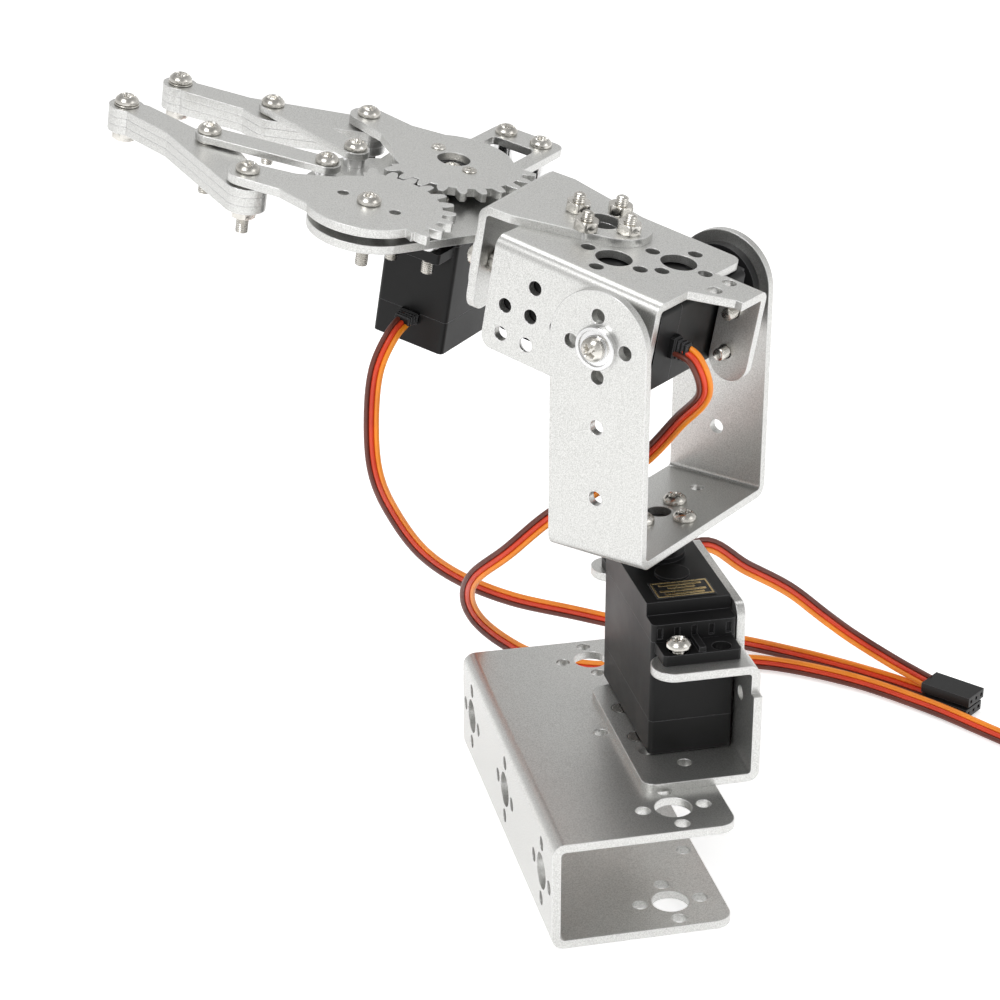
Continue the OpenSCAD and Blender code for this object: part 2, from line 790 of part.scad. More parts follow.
function tooth(a) = [for (p = concat([[root_r - 1, -1.4]], flank(1), reversed(flank(-1)), [[root_r - 1, 1.4]])) turn(p, a)];
function tooth_deg(s, i) = -s * (90 - (i - 1) * 360 / teeth) + (s > 0 ? 0 : 180 / teeth);
// gear arm drawn around its own gear centre; s is +1 for the idle side
module gear_arm_outline(s) {
    a_out = s * jaw_deg;
    circle(root_r - 2.2);
    intersection() {
        circle(root_r);
        polygon(concat([[0, 0]], [for (i = [-6.5 : 1 : 3.5]) 30 * [cos(tooth_deg(s, i)), sin(tooth_deg(s, i))]]));
    }
    for (i = [-6 : 3]) {
        polygon(tooth(tooth_deg(s, i)));
    }
    hull() {
        circle(6.5);
        translate([arm_len * cos(a_out), arm_len * sin(a_out)]) circle(4.6);
    }
    hull() {
        translate([arm_len * 0.55 * cos(a_out), arm_len * 0.55 * sin(a_out)]) circle(6.2);
        circle(13);
    }
}
module gear_arm(s, bore) {
    in_claw() translate([gear_x, gear_y(s), gear_z]) difference() {
        linear_extrude(gear_t) gear_arm_outline(s);
        translate([0, 0, -1]) cylinder(h = 9, r = bore);
        translate([arm_len * cos(jaw_deg), s * arm_len * sin(jaw_deg), -1]) cylinder(h = 9, r = screw_r + 0.06);
        for (a = [0, 180]) {
            rotate([0, 0, a + gear_hole_deg(s)]) translate([horn_bolt, 0, -1]) cylinder(h = 9, r = 1.35);
        }
    }
}
module drive_gear_arm() {
    color([0.77, 0.77, 0.76]) gear_arm(-1, 4);
}
module idle_gear_arm() {
    color([0.77, 0.77, 0.76]) gear_arm(1, screw_r + 0.06);
}
module drive_gear_screws() {
    color([0.8, 0.78, 0.72]) in_claw() translate([gear_x, gear_y(-1), 0]) {
        for (a = [0, 180]) {
            rotate([0, 0, a + gear_hole_deg(-1)]) translate([horn_bolt, 0, gear_z + gear_t]) {
                translate([0, 0, -3.4]) cylinder(h = 3.5, r = 1.28);
                translate([0, 0, 0.02]) cylinder(h = 0.4, r = 1.8);
            }
        }
        translate([0, 0, gear_z - horn_sink + 0.02]) pan_screw(0.6, 1.4);
    }
}
module claw_pivot_bolts() {
    color([0.8, 0.78, 0.72]) in_claw() {
        translate([gear_x, gear_y(1), gear_z + gear_t + 0.05]) pan_screw(gear_z + gear_t + 5.6, screw_r);
        translate([gear_x, gear_y(1), plate_top - sheet_t - 2.45]) hex_nut();
        for (s = [-1, 1]) {
            translate([pivot_b(s)[0], pivot_b(s)[1], link_z + link_t + 0.05]) {
                pan_screw(link_z + link_t + 5.9, screw_r);
            }
            translate([pivot_b(s)[0], pivot_b(s)[1], plate_top - sheet_t - 2.45]) hex_nut();
        }
    }
}
module spacer(z0, z1, r) {
    translate([0, 0, z0]) difference() {
        cylinder(h = z1 - z0, r = r);
        translate([0, 0, -1]) cylinder(h = z1 - z0 + 2, r = screw_r + 0.03);
    }
}
module claw_spacers() {
    color([0.82, 0.82, 0.82]) in_claw() {
        translate([gear_x, gear_y(1), 0]) spacer(plate_top + 0.02, gear_z - 0.05, 3.4);
        for (s = [-1, 1]) {
            translate([pivot_b(s)[0], pivot_b(s)[1], 0]) spacer(plate_top + 0.02, link_z - 0.05, 2.6);
        }
        for (dy = [-ear_pitch, ear_pitch]) {
            for (dx = [-5, 5]) {
                translate([gear_x + dx, claw_ear_y + dy, 0]) {
                    spacer(claw_servo_z + ear_z + ear_t + 0.02, plate_top - sheet_t - 0.02, 2.6);
                }
            }
        }
    }
}
module jaw_outline(s) {
    a = pivot_a(s);
    c = pivot_c(s);
    t = pivot_t(s);
    hull() {
        translate(a) circle(5);
        translate(c) circle(5);
        translate(c + [7, s * 0.8]) circle(3.8);
    }
    hull() {
        translate(c + [6, s * 0.6]) circle(3.9);
        translate(t - [4, 0]) circle(3.6);
    }
    translate(t) circle(4.2);
}
module jaw(s) {
    in_claw() difference() {
        for (i = [1 : 3]) {
            translate([0, 0, jaw_top - i * (jaw_layer + 0.06)]) linear_extrude(jaw_layer) jaw_outline(s);
        }
        for (p = [pivot_a(s), pivot_c(s), pivot_t(s)]) {
            translate([p[0], p[1], 0]) cylinder(h = 20, r = screw_r + 0.02);
        }
    }
}
jaw_foot = jaw_top - 3 * (jaw_layer + 0.06);
module jaw_bolts(s) {
    in_claw() {
        for (q = [[pivot_a(s), gear_z + gear_t + 0.05, 6.5], [pivot_c(s), link_z + link_t + 0.05, 7.2],
                [pivot_t(s), jaw_top + 0.5, 2.6]]) {
            translate([q[0][0], q[0][1], q[1]]) pan_screw(q[1] - jaw_foot + q[2], screw_r);
            translate([q[0][0], q[0][1], jaw_foot - 2.45]) hex_nut();
        }
        for (p = [pivot_a(s), pivot_c(s), pivot_t(s)]) {
            translate([p[0], p[1], 0]) spacer(jaw_top + 0.02, gear_z - 0.05, 3);
        }
    }
}
module drive_jaw() {
    color([0.77, 0.77, 0.76]) jaw(-1);
}
module idle_jaw() {
    color([0.77, 0.77, 0.76]) jaw(1);
}
module drive_jaw_bolts() {
    color([0.8, 0.78, 0.72]) jaw_bolts(-1);
}
module idle_jaw_bolts() {
    color([0.8, 0.78, 0.72]) jaw_bolts(1);
}
module link_bar(s) {
    in_claw() difference() {
        translate([0, 0, link_z]) linear_extrude(link_t) {
            hull() {
                translate(pivot_b(s)) circle(3.3);
                translate(pivot_c(s)) circle(3.3);
            }
        }
        translate([pivot_b(s)[0], pivot_b(s)[1], 0]) cylinder(h = 20, r = screw_r + 0.06);
        translate([pivot_c(s)[0], pivot_c(s)[1], 0]) cylinder(h = 20, r = screw_r + 0.09);
    }
}
module drive_link() {
    color([0.77, 0.77, 0.76]) link_bar(-1);
}
module idle_link() {
    color([0.77, 0.77, 0.76]) link_bar(1);
}

// ---------- leads ----------
lead_r = 1.5;
claw_route = [[-38.2, 66.6, 108.8], [-43.5, 61, 106.6], [-48, 59.5, 98], [-49, 62, 84], [-48, 64, 70],
    [-43, 71, 56], [-34, 79, 40], [-22, 87, 27], [-7, 92, 17], [11, 96, 9], [30, 95, 3],
    [50, 85, 2], [69, 70, 2], [84, 55, 2], [93, 44, 2]];
elbow_route = [[7.3, -2.2, 122.2], [11, -6.6, 120], [14, -4, 111], [11, 5, 101], [4, 9, 91],
    [-5, 17, 81], [-14, 25, 71], [-22, 32, 60], [-28, 41, 50], [-28, 50, 40], [-24, 57, 30],
    [-16, 63, 20], [-6, 67, 12], [10, 69, 6], [32, 73, 2], [55, 70, 2], [75, 56, 2], [90, 38, 2],
    [100, 22, 2], [110, 5, 2]];
turntable_route = [[9.8, 24.6, 35.8], [10, 30, 38], [16, 38, 45], [31, 46, 50], [44.5, 51, 40],
    [58, 56, 30], [69, 58, 20], [78, 60, 12], [87, 53, 7], [93.5, 44, 5]];
function curve(a, b, c, d, t) = 0.5 * (2 * b + (c - a) * t + (2 * a - 5 * b + 4 * c - d) * t * t
    + (3 * b - a - 3 * c + d) * t * t * t);
function at(l, i) = l[max(0, min(len(l) - 1, i))];
function smooth(l, n) = concat([for (i = [0 : len(l) - 2]) for (k = [0 : n - 1])
    curve(at(l, i - 1), l[i], l[i + 1], at(l, i + 2), k / n)], [l[len(l) - 1]]);
function unit(v) = v / norm(v);
lead_side = unit([0.3, 0.5, 0.81]);
sides = 8;
module lead(route) {
    p = smooth(route, 2);
    n = len(p);
    rings = [for (i = [0 : n - 1])
        let (t = unit(at(p, i + 1) - at(p, i - 1)))
        let (u = unit(cross(t, lead_side)))
        let (v = cross(t, u))
        for (k = [0 : sides - 1]) p[i] + lead_r * (cos(k * 360 / sides) * u + sin(k * 360 / sides) * v)];
    walls = [for (i = [0 : n - 2]) for (k = [0 : sides - 1])
        for (f = [[i * sides + k, (i + 1) * sides + k, (i + 1) * sides + (k + 1) % sides],
                [i * sides + k, (i + 1) * sides + (k + 1) % sides, i * sides + (k + 1) % sides]]) f];
    polyhedron(points = rings, faces = concat([[for (k = [0 : sides - 1]) k]], walls,
        [[for (k = [sides - 1 : -1 : 0]) (n - 1) * sides + k]]));
}
module turntable_lead() {
    color([0.85, 0.35, 0.1]) lead(turntable_route);
}
module elbow_lead() {
    color([0.85, 0.35, 0.1]) lead(elbow_route);
}
module claw_lead() {
    color([0.85, 0.35, 0.1]) lead(claw_route);
}
module plug(p, a) {
    translate(p) rotate([0, 0, a]) difference() {
        translate([0, -3.8, -1.3]) cube([14, 7.6, 2.6]);
        for (y = [-2.54, 0, 2.54]) {
            translate([8, y - 0.5, -0.5]) cube([7, 1, 1]);
        }
    }
}
module turntable_plug() {
    color([0.08, 0.08, 0.08]) plug([93.5, 44, 5], -52);
}
module arm_plugs() {
    color([0.08, 0.08, 0.08]) {
        plug([93, 44, 1.6], -52);
        plug([110, 5, 1.6], -60);
    }
}

foot_channel();
foot_bracket();
foot_bracket_bolts();
turntable_servo_lid();
turntable_servo_case();
turntable_servo_cover();
turntable_servo_motor();
turntable_servo_gears();
turntable_servo_board();
turntable_servo_case_screws();
turntable_servo_ear_screws();
turntable_shaft();
turntable_horn();
fork();
fork_horn_screws();
elbow_shaft();
elbow_horn();
elbow_horn_screws();
elbow_bearing();
elbow_pivot_screw();
elbow_bracket();
elbow_servo_lid();
elbow_servo_case();
elbow_servo_cover();
elbow_servo_motor();
elbow_servo_gears();
elbow_servo_board();
elbow_servo_case_screws();
elbow_servo_ear_screws();
wrist_bracket();
wrist_bolts();
wrist_nuts();
claw_plate();
claw_plate_bolts();
claw_servo_lid();
claw_servo_case();
claw_servo_cover();
claw_servo_motor();
claw_servo_gears();
claw_servo_board();
claw_servo_case_screws();
claw_servo_ear_screws();
claw_shaft();
claw_horn();
drive_gear_arm();
drive_gear_screws();
idle_gear_arm();
claw_pivot_bolts();
claw_spacers();
drive_jaw();
idle_jaw();
drive_jaw_bolts();
idle_jaw_bolts();
drive_link();
idle_link();
turntable_lead();
elbow_lead();
claw_lead();
turntable_plug();
arm_plugs();
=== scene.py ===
"""Looks of the desktop robot arm: camera, leads, hardware, materials and light."""
import json
import math

import bmesh
import bpy
from mathutils import Matrix, Vector


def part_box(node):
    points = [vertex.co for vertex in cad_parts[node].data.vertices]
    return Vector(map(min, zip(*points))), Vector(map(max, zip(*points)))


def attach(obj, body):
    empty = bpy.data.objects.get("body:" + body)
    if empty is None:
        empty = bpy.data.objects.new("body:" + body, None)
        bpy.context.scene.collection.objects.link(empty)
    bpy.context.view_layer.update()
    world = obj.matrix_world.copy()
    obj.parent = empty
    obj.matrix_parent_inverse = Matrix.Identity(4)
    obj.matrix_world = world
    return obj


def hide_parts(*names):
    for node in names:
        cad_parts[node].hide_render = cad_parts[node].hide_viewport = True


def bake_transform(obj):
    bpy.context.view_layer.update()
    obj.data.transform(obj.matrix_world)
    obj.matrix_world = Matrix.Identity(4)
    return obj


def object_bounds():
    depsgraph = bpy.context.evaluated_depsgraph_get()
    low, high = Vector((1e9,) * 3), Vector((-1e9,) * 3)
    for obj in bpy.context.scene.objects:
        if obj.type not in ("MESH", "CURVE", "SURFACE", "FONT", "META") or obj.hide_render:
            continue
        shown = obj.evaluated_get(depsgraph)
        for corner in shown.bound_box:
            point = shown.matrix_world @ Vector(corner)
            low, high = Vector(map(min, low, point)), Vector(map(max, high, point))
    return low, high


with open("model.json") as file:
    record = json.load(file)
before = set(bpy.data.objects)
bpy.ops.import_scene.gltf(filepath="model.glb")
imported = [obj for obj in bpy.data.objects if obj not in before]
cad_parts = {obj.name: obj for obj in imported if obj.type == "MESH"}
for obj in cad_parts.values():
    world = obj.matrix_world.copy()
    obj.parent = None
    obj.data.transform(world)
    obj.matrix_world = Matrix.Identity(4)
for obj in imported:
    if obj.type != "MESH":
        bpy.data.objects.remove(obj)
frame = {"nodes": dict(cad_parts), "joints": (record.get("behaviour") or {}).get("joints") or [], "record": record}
cad_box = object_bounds()

MM = 0.001
NODES = frame["nodes"]
JOINTS = {j["name"]: j for j in frame["joints"]}

# Directions that the frame gives: across the fork, up and forward on the forearm, and the
# claw's own forward, turned from the forearm's by CLAW_YAW.
UP = Vector((0, 0, 1))
FORK_SIDE = -Vector(JOINTS["elbow_pitch"]["axis"]).normalized()
ARM_UP = Vector(JOINTS["claw_drive"]["axis"]).normalized()
ARM_FORWARD = FORK_SIDE.cross(ARM_UP).normalized()
CLAW_YAW = math.radians(5.7)
CLAW_FORWARD = (Matrix.Rotation(CLAW_YAW, 3, ARM_UP) @ ARM_FORWARD).normalized()
CLAW_SIDE = ARM_UP.cross(CLAW_FORWARD).normalized()


# ---------- camera ----------
LENS = 90.3
SENSOR_WIDTH = 36
CAMERA_PLACE = (-0.1437, -0.4944, 0.3145)
CAMERA_AZIMUTH = math.radians(-12.83)
CAMERA_ELEVATION = math.radians(24.04)


def add_camera():
    data = bpy.data.cameras.new("camera")
    data.lens = LENS
    data.sensor_width = SENSOR_WIDTH
    data.clip_start = 0.01
    camera = bpy.data.objects.new("camera", data)
    bpy.context.scene.collection.objects.link(camera)
    look = Vector((
        -math.sin(CAMERA_AZIMUTH) * math.cos(CAMERA_ELEVATION),
        math.cos(CAMERA_AZIMUTH) * math.cos(CAMERA_ELEVATION),
        -math.sin(CAMERA_ELEVATION),
    ))
    camera.location = CAMERA_PLACE
    camera.rotation_euler = look.to_track_quat("-Z", "Y").to_euler()
    bpy.context.scene.camera = camera


# ---------- mesh helpers ----------
SHARP_ANGLE = math.radians(35)


def new_object(name, verts, faces, materials, smooth=True, face_slots=None):
    mesh = bpy.data.meshes.new(name)
    mesh.from_pydata([tuple(v) for v in verts], [], faces)
    for material in materials:
        mesh.materials.append(material)
    if face_slots:
        mesh.polygons.foreach_set("material_index", face_slots)
    mesh.polygons.foreach_set("use_smooth", [smooth] * len(mesh.polygons))
    mesh.update()
    obj = bpy.data.objects.new(name, mesh)
    bpy.context.scene.collection.objects.link(obj)
    return obj


def frame_on(axis):
    """Two directions square to axis."""
    helper = UP if abs(axis.z) < 0.9 else Vector((1, 0, 0))
    u = helper.cross(axis).normalized()
    return u, axis.cross(u).normalized()


class Builder:
    """Collects the vertices and faces of several shapes into one mesh."""

    def __init__(self):
        self.verts, self.faces, self.slots = [], [], []

    def add_face(self, corners, slot):
        self.faces.append(tuple(corners))
        self.slots.append(slot)

    def add_rows(self, rows):
        """Stores rings of points, all of one length; returns where each one starts."""
        starts = []
        for row in rows:
            starts.append(len(self.verts))
            self.verts.extend(row)
        return starts

    def add_wall(self, a, b, count, slot):
        """Faces between the rings that start at vertices a and b."""
        for k in range(count):
            n = (k + 1) % count
            self.add_face((a + k, a + n, b + n, b + k), slot)

    def rings(self, rows, slot=0):
        """A solid through the rings, closed at both ends."""
        count, starts = len(rows[0]), self.add_rows(rows)
        for a, b in zip(starts, starts[1:]):
            self.add_wall(a, b, count, slot)
        self.add_face(reversed(range(starts[0], starts[0] + count)), slot)
        self.add_face(range(starts[-1], starts[-1] + count), slot)

    def tube_wall(self, rows, slot=0):
        """A solid whose last ring joins the first, such as a washer."""
        count, starts = len(rows[0]), self.add_rows(rows)
        for a, b in zip(starts, starts[1:] + starts[:1]):
            self.add_wall(a, b, count, slot)

    def object(self, name, materials):
        obj = new_object(name, self.verts, self.faces, materials, True, self.slots)
        obj.data.set_sharp_from_angle(angle=SHARP_ANGLE)
        return obj


# ---------- leads ----------
# Each route repeats the frame's own, and the ribbon is kept off the table.
WIRE_D = 1.3 * MM
WIRE_SIDES = 12
WIRE_STEP = 0.97  # between wires, in wire diameters, so that they touch
RIBBON_W = 3 * WIRE_D
RIBBON_FRONT = Vector((-0.2, -0.89, 0.41)).normalized()  # where the flat of a ribbon faces
TURN_KEPT = 0.5  # weight of the ribbon's last direction against the one that is wanted
FIRST_PULL = 50  # weight of the wanted direction at the ribbon's first ring
TABLE_GAP = 0.05 * MM
CLAW_ROUTE = [(-38.2, 66.6, 108.8), (-43.5, 61, 106.6), (-48, 59.5, 98), (-49, 62, 84),
              (-48, 64, 70), (-43, 71, 56), (-34, 79, 40), (-22, 87, 27), (-7, 92, 17), (11, 96, 9),
              (30, 95, 3), (50, 85, 2), (69, 70, 2), (84, 55, 2), (93, 44, 2)]
ELBOW_ROUTE = [(7.3, -2.2, 122.2), (11, -6.6, 120), (14, -4, 111), (11, 5, 101), (4, 9, 91),
               (-5, 17, 81), (-14, 25, 71), (-22, 32, 60), (-28, 41, 50), (-28, 50, 40),
               (-24, 57, 30), (-16, 63, 20), (-6, 67, 12), (10, 69, 6), (32, 73, 2),
               (55, 70, 2), (75, 56, 2), (90, 38, 2), (100, 22, 2), (110, 5, 2)]
TURNTABLE_ROUTE = [(9.8, 24.6, 35.8), (10, 30, 38), (16, 38, 45), (31, 46, 50), (44.5, 51, 40),
                   (58, 56, 30), (69, 58, 20), (78, 60, 12), (87, 53, 7), (93.5, 44, 5)]


def smooth_path(points, steps=8):
    """Catmull-Rom curve through points in millimetres, kept above the table."""
    pts = [Vector(p) * MM for p in points]
    out = []
    for i in range(len(pts) - 1):
        a, b = pts[max(i - 1, 0)], pts[i]
        c, d = pts[i + 1], pts[min(i + 2, len(pts) - 1)]
        for k in range(steps):
            t = k / steps
            out.append(0.5 * (2 * b + (c - a) * t + (2 * a - 5 * b + 4 * c - d) * t * t
                              + (3 * b - a - 3 * c + d) * t ** 3))
    lowest = RIBBON_W / 2 + TABLE_GAP
    return [Vector((p.x, p.y, max(p.z, lowest))) for p in out + [pts[-1]]]


def ribbon(name, route, materials):
    """Three wires side by side along the route, their flat side towards the front of the arm."""
    path = smooth_path(route)
    count = len(path)
    tangents = [
        (path[min(i + 1, count - 1)] - path[max(i - 1, 0)]).normalized() for i in range(count)
    ]
    across = UP
    rows = [[] for _ in range(3)]
    for i, (point, tangent) in enumerate(zip(path, tangents)):
        wanted = tangent.cross(RIBBON_FRONT)
        if i and wanted.dot(across) < 0:
            wanted = -wanted
        across = (across * TURN_KEPT + wanted * (1 if i else FIRST_PULL)).normalized()
        turned = (across - tangent * across.dot(tangent)).normalized()
        normal = tangent.cross(turned)
        for wire in range(3):
            centre = point + turned * (wire - 1) * WIRE_D * WIRE_STEP
            rows[wire].append([
                centre + WIRE_D / 2 * (math.cos(a) * turned + math.sin(a) * normal)
                for a in (2 * math.pi * k / WIRE_SIDES for k in range(WIRE_SIDES))
            ])
    shape = Builder()
    for wire in range(3):
        shape.rings(rows[wire], slot=wire)
    return shape.object(name, materials), path


# ---------- hardware ----------
HEAD_R = 2.8 * MM
HEAD_H = 2.2 * MM
SIDES = 32
FINE_SIDES = 48  # nuts and bearings
PITCH = 0.5 * MM
THREAD_DEPTH = 0.22 * MM
TIP_BAND = 0.2 * MM  # height over which a solid's low end is measured
HEAD_BAND = 2.6 * MM  # the same for its high end, where a head may be rounded
# what tells the CAD's simple solids apart
NUT_H = 2.4 * MM
NUT_R = 3.1 * MM
THICKEST_SHANK = 1.7 * MM
SMALLEST_HEAD = 2 * MM
THICKEST_SMALL_SHANK = 1.4 * MM


def islands(node):
    """The separate solids of a CAD node, each as a list of its points, in order of position."""
    mesh = bmesh.new()
    mesh.from_mesh(NODES[node].data)
    bmesh.ops.remove_doubles(mesh, verts=mesh.verts, dist=1e-6)
    left, found = set(mesh.verts), []
    while left:
        stack, group = [left.pop()], []
        while stack:
            vert = stack.pop()
            group.append(vert.co.copy())
            for edge in vert.link_edges:
                other = edge.other_vert(vert)
                if other in left:
                    left.discard(other)
                    stack.append(other)
        found.append(group)
    mesh.free()
    # a set has no fixed order, and each screw's turn follows from its number here
    return sorted(found, key=lambda points: min(tuple(round(c, 5) for c in p) for p in points))


def measure(points, axis):
    """Foot point, length and end radii of a solid that is round about axis."""
    u, v = frame_on(axis)
    us, vs, zs = ([p.dot(d) for p in points] for d in (u, v, axis))
    centre_u, centre_v = (min(us) + max(us)) / 2, (min(vs) + max(vs)) / 2
    low, high = min(zs), max(zs)

    def widest(test):
        radii = (math.hypot(a - centre_u, b - centre_v) for a, b, z in zip(us, vs, zs) if test(z))
        return max(radii, default=0)

    return {
        "foot": u * centre_u + v * centre_v + axis * low,
        "length": high - low,
        "low_r": widest(lambda z: z < low + TIP_BAND),
        "high_r": widest(lambda z: z > high - HEAD_BAND),
        "radius": widest(lambda z: True),
    }


def ring_points(foot, axis, z, radius, count, spin=0.0):
    u, v = frame_on(axis)
    out = []
    for k in range(count):
        a = 2 * math.pi * k / count + spin
        r = radius(a) if callable(radius) else radius
        out.append(foot + axis * z + (u * math.cos(a) + v * math.sin(a)) * r)
    return out


def thread(z, shank_r):
    """Radius around a threaded shank at height z."""
    def radius(a):
        phase = (z / PITCH - a / (2 * math.pi)) % 1
        return shank_r - THREAD_DEPTH * abs(2 * phase - 1)
    return radius


def cross_recess(x, y, half_width, side_slope, reach, end_slope):
    """1 inside a cross recess about the centre, 0 outside it, sloping between."""
    near, far = sorted((abs(x), abs(y)))
    depth = max(0.0, min(1.0, (half_width - near) / side_slope))
    return depth * max(0.0, min(1.0, (reach - far) / end_slope))


def add_screw(shape, foot, axis, length, shank_r, spin):
    """Pan head with a cross recess on a threaded shank, from the tip at foot along axis."""
    u, v = frame_on(axis)
    seat = length - HEAD_H
    tip = 0.25 * MM
    rows = [ring_points(foot, axis, 0, shank_r * 0.55, SIDES)]
    steps = max(2, int(seat / (PITCH / 4)))
    for i in range(steps + 1):
        z = tip + (seat - tip) * i / steps
        rows.append(ring_points(foot, axis, z, thread(z, shank_r), SIDES))
    rows.append(ring_points(foot, axis, seat, HEAD_R * 0.93, SIDES))
    rows.append(ring_points(foot, axis, seat + 0.15 * MM, HEAD_R, SIDES))
    rows.append(ring_points(foot, axis, seat + 0.9 * MM, HEAD_R * 0.985, SIDES))
    slices = 12
    for i in range(slices):
        share = 1 - i / slices
        radius = HEAD_R * 0.96 * share
        row = []
        for k in range(SIDES):
            a = 2 * math.pi * k / SIDES
            x, y = radius * math.cos(a - spin), radius * math.sin(a - spin)
            dome = seat + HEAD_H - 1.2 * MM * share ** 3
            recess = cross_recess(x, y, 0.52 * MM, 0.2 * MM, 1.75 * MM, 0.6 * MM)
            row.append(foot + axis * (dome - 1.1 * MM * recess)
                       + u * (radius * math.cos(a)) + v * (radius * math.sin(a)))
        rows.append(row)
    shape.rings(rows)


def add_flat_screw(shape, foot, axis, length, shank_r, head_r):
    """Low round head with a cross recess, nearly flush with the face it sits in."""
    u, v = frame_on(axis)
    profile = [(0, shank_r * 0.8), (0.2 * MM, shank_r), (length - 0.42 * MM, shank_r),
               (length - 0.4 * MM, head_r * 0.96), (length - 0.25 * MM, head_r),
               (length - 0.08 * MM, head_r * 0.95)]
    rows = [ring_points(foot, axis, z, r, SIDES) for z, r in profile]
    slices = 8
    for i in range(slices):
        radius = head_r * 0.9 * (1 - i / slices)
        row = []
        for k in range(SIDES):
            a = 2 * math.pi * k / SIDES
            x, y = radius * math.cos(a), radius * math.sin(a)
            recess = cross_recess(x, y, 0.34 * MM, 0.12 * MM, 1.2 * MM, 0.3 * MM)
            row.append(foot + axis * (length - 0.4 * MM * recess) + u * x + v * y)
        rows.append(row)
    shape.rings(rows)


def add_stud(shape, foot, axis, length, shank_r, head_low):
    """Threaded stud with a thin disc head at its low end."""
    head_h = 0.4 * MM
    rows = [ring_points(foot, axis, z, head_low, SIDES) for z in (0, head_h)]
    steps = int(length / (PITCH / 4))
    for i in range(steps):
        z = head_h + (length - 0.65 * MM) * i / steps
        rows.append(ring_points(foot, axis, z, thread(z, shank_r), SIDES))
    rows.append(ring_points(foot, axis, length - 0.2 * MM, shank_r * 0.8, SIDES))
    rows.append(ring_points(foot, axis, length, shank_r * 0.55, SIDES))
    shape.rings(rows)


def add_nut(shape, foot, axis, length, radius, spin):
    """Hex nut with rounded-off corners on both faces."""
    flat = radius * math.cos(math.pi / 6)
    bore, face = 1.47 * MM, flat * 0.98
    chamfer = 0.28 * MM

    def outer(a):
        return min(flat / math.cos(((a - spin) % (math.pi / 3)) - math.pi / 6), radius)

    profile = [(0, bore), (0, face), (chamfer, outer), (length - chamfer, outer),
               (length, face), (length, bore)]
    shape.tube_wall([ring_points(foot, axis, z, r, FINE_SIDES) for z, r in profile])


def add_spacer(shape, foot, axis, length, radius):
    bore, edge = 1.48 * MM, 0.12 * MM
    profile = [(0, bore), (0, radius - edge), (edge, radius), (length - edge, radius),
               (length, radius - edge), (length, bore)]
    shape.tube_wall([ring_points(foot, axis, z, r, SIDES) for z, r in profile])


def rebuild_bearing(node, axis, steel, body):
    """Flanged ring bearing: rounded flange, outer race, sunk shield and inner race."""
    shape = Builder()
    for points in islands(node):
        m = measure(points, axis)
        top, edge = m["length"] / MM, m["radius"] / MM
        flange = top - 1.4
        # (height, radius) in millimetres: outer race, flange, sunk shield, inner race
        profile = [(0, 1.58), (0, 3.9), (0.1, 3.96), (flange, 3.96),
                   (flange, edge - 0.1), (top - 1.3, edge), (top - 0.15, edge), (top, edge - 0.2),
                   (top, 4.1), (top - 0.4, 4.0), (top - 0.4, 3.0), (top, 2.9), (top, 1.7)]
        shape.tube_wall(
            [ring_points(m["foot"], axis, z * MM, r * MM, FINE_SIDES) for z, r in profile])
    piece = shape.object(node + "_detail", [steel])
    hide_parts(node)
    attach(piece, body)


def rebuild_hardware(node, axis, steel, body):
    """Screws, nuts and spacers with threads, recesses and chamfers, where the CAD node has them."""
    shape = Builder()
    for number, points in enumerate(islands(node)):
        m = measure(points, axis)
        spin = 0.7 + 1.1 * number
        if abs(m["length"] - NUT_H) < 0.03 * MM and m["radius"] > 2.9 * MM:
            add_nut(shape, m["foot"], axis, m["length"], NUT_R, spin)
        elif m["low_r"] < THICKEST_SHANK and m["high_r"] > SMALLEST_HEAD:
            add_screw(shape, m["foot"], axis, m["length"], m["low_r"] + 0.04 * MM, spin)
        elif m["high_r"] < THICKEST_SHANK and m["low_r"] > SMALLEST_HEAD:
            add_stud(shape, m["foot"], axis, m["length"], 1.48 * MM, m["low_r"])
        elif m["low_r"] < THICKEST_SMALL_SHANK:
            add_flat_screw(shape, m["foot"], axis, m["length"], m["low_r"], m["high_r"])
        else:
            add_spacer(shape, m["foot"], axis, m["length"], m["radius"])
    piece = shape.object(node + "_detail", [steel])
    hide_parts(node)
    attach(piece, body)


